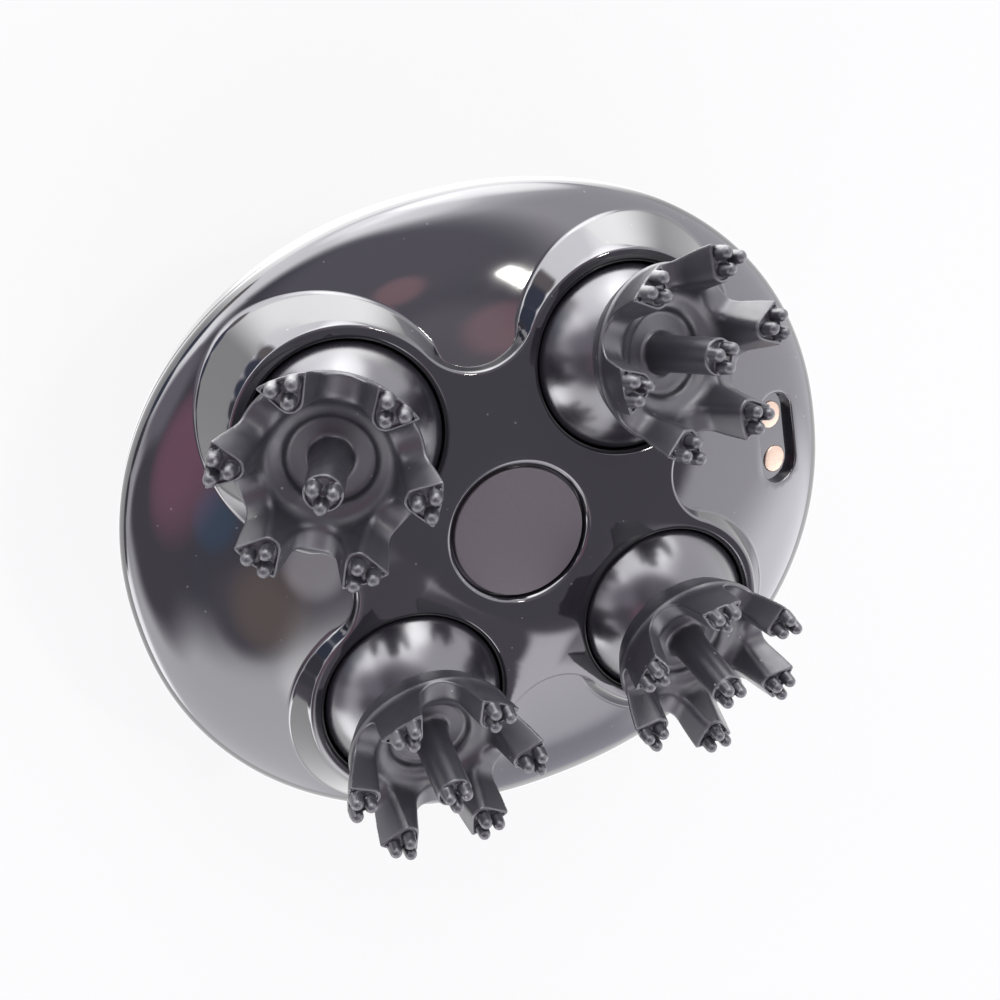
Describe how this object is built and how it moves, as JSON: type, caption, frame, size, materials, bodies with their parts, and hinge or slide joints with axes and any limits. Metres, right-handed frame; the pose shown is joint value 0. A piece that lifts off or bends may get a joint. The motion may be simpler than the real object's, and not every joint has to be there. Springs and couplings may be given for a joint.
{
  "type": "electric scalp massager",
  "caption": "Dome-shaped hand massager with gear-driven leaning silicone claws on its flat face, a power button in the crown and a magnetic charging socket.",
  "frame": {"origin": "middle of the flat of the crown, which the massager rests on with its claws up", "axes": "+Z from the crown to the flat face and out along the claws, +X to the charging socket, +Y to the two back heads"},
  "size_m": [0.1168, 0.103, 0.0799],
  "materials": {
    "gloss_black": "piano-black gloss moulding, mirror smooth",
    "ball_black": "polished black moulding",
    "claw_silicone": "satin charcoal silicone with a fine skin texture",
    "disc_grey": "matte mauve-grey plate with a fine grain",
    "gasket_black": "matte black rubber",
    "light_ring": "frosted translucent ring",
    "button_black": "satin black moulding",
    "contact_gold": "pale rose-gold plating",
    "magnet_nickel": "bright nickel plating",
    "chassis_grey": "matte dark grey moulding",
    "gear_white": "natural acetal",
    "bush_bronze": "sintered bronze",
    "steel": "ground steel",
    "screw_steel": "zinc plated steel",
    "cell_blue": "shrink wrapped cell",
    "board_green": "solder mask"
  },
  "bodies": {
    "housing": {"dome_cover": "gloss_black", "face_cover": "gloss_black", "light_ring": "light_ring", "centre_disc": "disc_grey", "charge_socket": "button_black", "cover_gasket": "gasket_black", "charge_magnet": "magnet_nickel", "charge_contacts": "contact_gold", "gear_plate": "chassis_grey", "bearing_plate": "chassis_grey", "plate_screws": "screw_steel", "chassis_screws": "screw_steel", "centre_axle": "steel", "reduction_axle": "steel", "motor": "steel", "motor_screws": "screw_steel", "battery": "cell_blue", "battery_holder": "chassis_grey", "main_board": "board_green", "button_switch": "button_black", "board_screws": "screw_steel", "bush_back_left": "bush_bronze", "bush_back_right": "bush_bronze", "bush_front_left": "bush_bronze", "bush_front_right": "bush_bronze", "seal_back_left": "gasket_black", "seal_back_right": "gasket_black", "seal_front_left": "gasket_black", "seal_front_right": "gasket_black"},
    "button": {"power_button": "button_black"},
    "sun": {"centre_gear": "gear_white"},
    "reduction": {"reduction_gear": "gear_white"},
    "rotor": {"motor_shaft": "steel", "motor_pinion": "bush_bronze"},
    "head_back_left": {"gear_back_left": "gear_white", "cap_back_left": "ball_black", "core_back_left": "button_black", "claw_back_left": "claw_silicone"},
    "head_back_right": {"gear_back_right": "gear_white", "cap_back_right": "ball_black", "core_back_right": "button_black", "claw_back_right": "claw_silicone"},
    "head_front_left": {"gear_front_left": "gear_white", "cap_front_left": "ball_black", "core_front_left": "button_black", "claw_front_left": "claw_silicone"},
    "head_front_right": {"gear_front_right": "gear_white", "cap_front_right": "ball_black", "core_front_right": "button_black", "claw_front_right": "claw_silicone"}
  },
  "joints": [
    {"name": "sun_spin", "type": "hinge", "parent": "housing", "child": "sun", "pos_m": [0, 0, 0.038], "axis": [0, 0, 1], "continuous": true},
    {"name": "reduction_spin", "type": "hinge", "parent": "housing", "child": "reduction", "pos_m": [0, -0.0252, 0.033], "axis": [0, 0, 1], "continuous": true},
    {"name": "rotor_spin", "type": "hinge", "parent": "housing", "child": "rotor", "pos_m": [0, -0.0097, 0.03], "axis": [0, 0, 1], "continuous": true},
    {"name": "button_press", "type": "slide", "parent": "housing", "child": "button", "axis": [0, 0, 1], "range_m": [0, 0.0008], "stiffness_N_per_m": 700},
    {"name": "head_back_left_spin", "type": "hinge", "parent": "housing", "child": "head_back_left", "pos_m": [-0.02206, 0.02206, 0.0527], "axis": [0, 0, 1], "continuous": true},
    {"name": "head_back_right_spin", "type": "hinge", "parent": "housing", "child": "head_back_right", "pos_m": [0.02206, 0.02206, 0.0527], "axis": [0, 0, 1], "continuous": true},
    {"name": "head_front_left_spin", "type": "hinge", "parent": "housing", "child": "head_front_left", "pos_m": [-0.02206, -0.02206, 0.0527], "axis": [0, 0, 1], "continuous": true},
    {"name": "head_front_right_spin", "type": "hinge", "parent": "housing", "child": "head_front_right", "pos_m": [0.02206, -0.02206, 0.0527], "axis": [0, 0, 1], "continuous": true}
  ],
  "couplings": [
    {"joint": "reduction_spin", "follows": "sun_spin", "ratio": -5},
    {"joint": "rotor_spin", "follows": "sun_spin", "ratio": 17.143},
    {"joint": "head_back_left_spin", "follows": "sun_spin", "ratio": -1.4375},
    {"joint": "head_back_right_spin", "follows": "sun_spin", "ratio": -1.4375},
    {"joint": "head_front_left_spin", "follows": "sun_spin", "ratio": -1.4375},
    {"joint": "head_front_right_spin", "follows": "sun_spin", "ratio": -1.4375}
  ]
}
